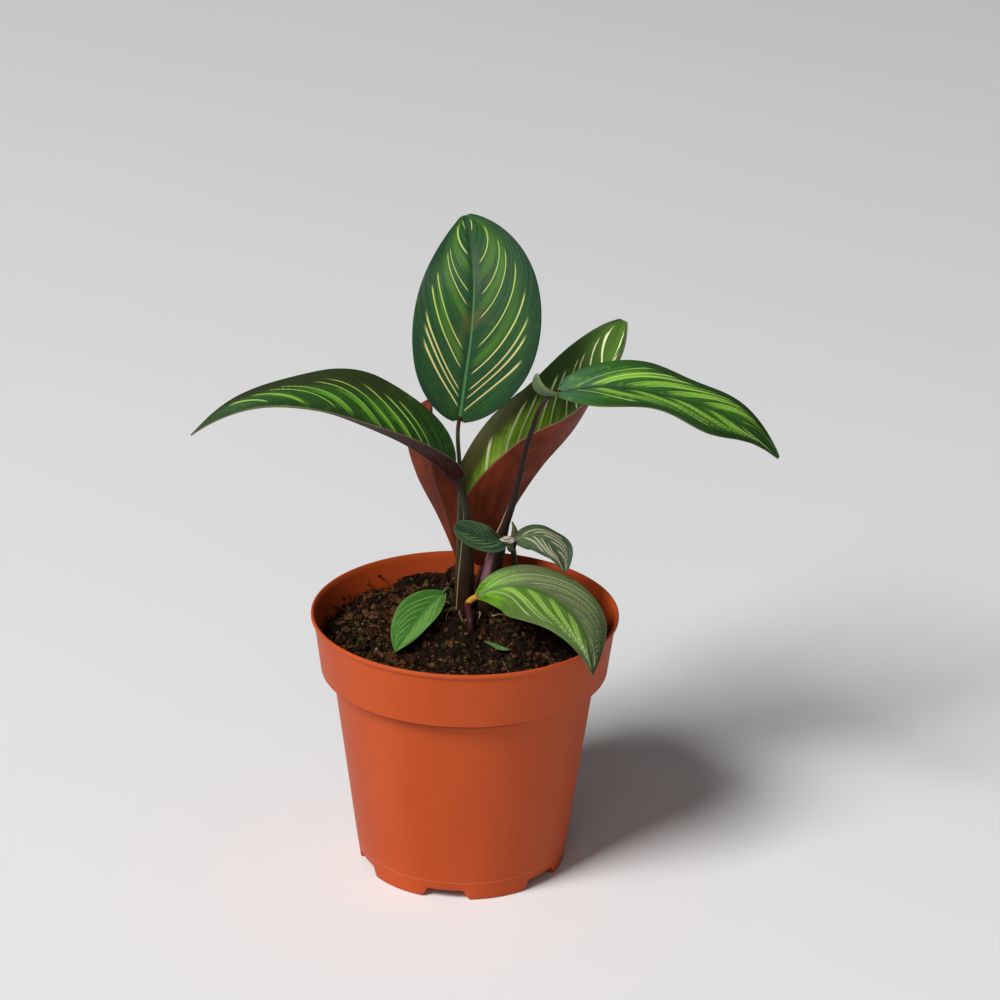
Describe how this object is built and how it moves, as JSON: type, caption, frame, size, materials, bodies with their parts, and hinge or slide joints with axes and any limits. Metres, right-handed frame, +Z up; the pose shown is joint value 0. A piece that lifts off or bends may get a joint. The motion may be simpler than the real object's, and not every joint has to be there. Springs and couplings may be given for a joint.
{
  "type": "potted calathea",
  "caption": "Young pin-stripe calathea with arching and folded blades on thin stalks, growing in peat in a stepped-collar plastic nursery pot.",
  "frame": {"origin": "centre of the pot's flat base, where the pot's axis meets the surface it stands on", "axes": "+Z up along the pot's axis, -Y the front, +X the plant's right seen from the front"},
  "size_m": [0.2014, 0.108, 0.2269],
  "materials": {
    "pot_plastic": "satin moulded terracotta-orange polypropylene",
    "peat": "damp coarse peat",
    "deep_green_leaf": "satin leaf, deep green with pale pin stripes, purple underside",
    "bright_green_leaf": "satin leaf, bright green with pale pin stripes, purple underside",
    "grey_green_leaf": "satin grey-green striped young leaf",
    "olive_stalk": "satin olive-brown stalk",
    "purple_stalk": "satin dark purple stalk",
    "dry_scale": "dry papery scale",
    "root_fibre": "dull pale root fibre",
    "perlite": "dull white expanded mineral",
    "bark": "dull damp bark"
  },
  "bodies": {
    "root": {"nursery_pot": "pot_plastic", "potting_mix": "peat", "upright_leaf": "deep_green_leaf", "left_leaf": "deep_green_leaf", "right_leaf": "deep_green_leaf", "small_left_leaf": "deep_green_leaf", "rear_right_leaf": "bright_green_leaf", "rear_left_leaf": "bright_green_leaf", "low_left_leaf": "bright_green_leaf", "low_right_leaf": "bright_green_leaf", "small_right_leaf": "grey_green_leaf", "fallen_leaf_fragment": "bright_green_leaf", "upright_leaf_stalk": "olive_stalk", "left_leaf_stalk": "olive_stalk", "low_left_leaf_stalk": "olive_stalk", "side_shoot_stem": "olive_stalk", "right_leaf_stalk": "purple_stalk", "rear_right_leaf_stalk": "purple_stalk", "rear_left_leaf_stalk": "purple_stalk", "low_right_leaf_stalk": "purple_stalk", "dry_node_scale": "dry_scale", "rootlet_1": "root_fibre", "rootlet_2": "root_fibre", "rootlet_3": "root_fibre", "rootlet_4": "root_fibre", "perlite_grain_1": "perlite", "perlite_grain_2": "perlite", "perlite_grain_3": "perlite", "perlite_grain_4": "perlite", "perlite_grain_5": "perlite", "perlite_grain_6": "perlite", "perlite_grain_7": "perlite", "perlite_grain_8": "perlite", "bark_chip_1": "bark", "bark_chip_2": "bark", "bark_chip_3": "bark", "bark_chip_4": "bark", "bark_chip_5": "bark", "bark_chip_6": "bark", "bark_chip_7": "bark", "bark_chip_8": "bark"}
  },
  "joints": []
}
